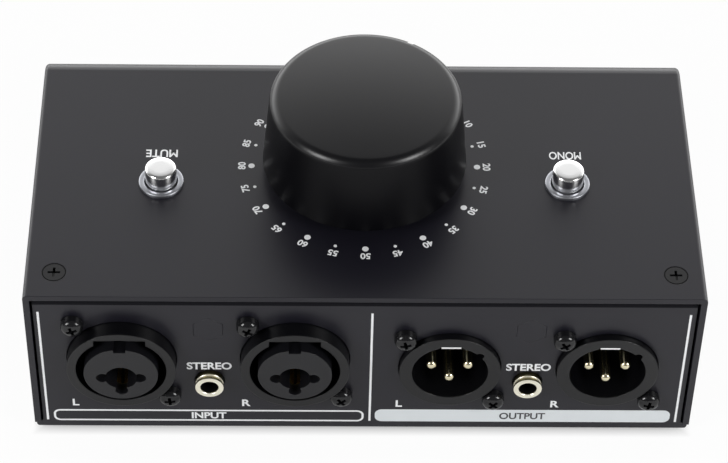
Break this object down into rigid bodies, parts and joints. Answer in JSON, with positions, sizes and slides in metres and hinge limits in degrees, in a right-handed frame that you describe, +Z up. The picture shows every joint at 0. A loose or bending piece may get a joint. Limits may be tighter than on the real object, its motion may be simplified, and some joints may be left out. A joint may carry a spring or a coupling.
{
  "type": "studio monitor controller",
  "caption": "Desktop passive volume controller in a folded metal case: large dial, mute and mono push buttons, combination inputs, three-pin outputs and stereo mini jacks at the rear.",
  "frame": {"origin": "middle of the footprint, on the surface that the feet stand on", "axes": "+Z up; +Y out of the rear connector panel, the user is on the -Y side; +X towards the inputs' end, the longest side"},
  "size_m": [0.1472, 0.0794, 0.0678],
  "materials": {
    "case_paint": "satin fine-texture powder coat, near black",
    "standoff_paint": "powder coated with the panel",
    "knob_black": "satin black, slightly soft to the light",
    "button_chrome": "bright plated",
    "bezel_metal": "satin grey",
    "screw_black": "black oxide",
    "connector_black": "moulded, fine matt",
    "insert_black": "moulded, fine matt",
    "contact_gold": "gold plated",
    "jack_metal": "pale plated brass",
    "foot_rubber": "matt",
    "board_green": "solder-masked board",
    "bright_steel": "plated steel",
    "wafer_brown": "resin-bonded board",
    "white_nylon": "natural nylon",
    "ribbon_grey": "flat cable jacket",
    "pointer_white": "white fill",
    "resistor_blue": "lacquered"
  },
  "bodies": {
    "case": {"base_chassis": "case_paint", "base_screws": "screw_black", "board_resistors": "resistor_blue", "board_screws": "bright_steel", "control_board": "board_green", "cover_screws": "screw_black", "dial_nut": "bright_steel", "dial_washer": "bright_steel", "flange_nuts": "bright_steel", "input_left_contacts": "contact_gold", "input_left_insert": "insert_black", "input_left_shell": "connector_black", "input_mini_jack": "connector_black", "input_right_contacts": "contact_gold", "input_right_insert": "insert_black", "input_right_shell": "connector_black", "input_screws": "screw_black", "io_board": "board_green", "mini_jack_sleeves": "jack_metal", "mono_bezel": "bezel_metal", "mono_return_spring": "bright_steel", "mono_switch_body": "connector_black", "mono_switch_legs": "bright_steel", "mute_bezel": "bezel_metal", "mute_return_spring": "bright_steel", "mute_switch_body": "connector_black", "mute_switch_legs": "bright_steel", "output_ground_springs": "bright_steel", "output_left_pins": "contact_gold", "output_left_shell": "connector_black", "output_mini_jack": "connector_black", "output_right_pins": "contact_gold", "output_right_shell": "connector_black", "output_screws": "screw_black", "panel_standoffs": "standoff_paint", "pot_bushing": "bright_steel", "pot_housings": "bright_steel", "pot_terminals": "bright_steel", "pot_wafers": "wafer_brown", "ribbon_cable": "ribbon_grey", "ribbon_headers": "connector_black", "rubber_feet": "foot_rubber", "tab_nuts": "bright_steel", "top_cover": "case_paint"},
    "volume_dial": {"volume_knob": "knob_black", "pot_shaft": "bright_steel", "pot_rotors": "white_nylon", "knob_pointer": "pointer_white"},
    "mute_button": {"mute_button_cap": "button_chrome", "mute_plunger": "white_nylon"},
    "mono_button": {"mono_button_cap": "button_chrome", "mono_plunger": "white_nylon"}
  },
  "joints": [
    {"name": "volume_turn", "type": "hinge", "parent": "case", "child": "volume_dial", "pos_m": [0, -0.0039, 0.0457], "axis": [0, 0, -1], "range_deg": [0, 300]},
    {"name": "mute_press", "type": "slide", "parent": "case", "child": "mute_button", "axis": [0, 0, -1], "range_m": [0, 0.002], "stiffness_N_per_m": 600, "deforming": ["mute_return_spring"]},
    {"name": "mono_press", "type": "slide", "parent": "case", "child": "mono_button", "axis": [0, 0, -1], "range_m": [0, 0.002], "stiffness_N_per_m": 600, "deforming": ["mono_return_spring"]}
  ]
}
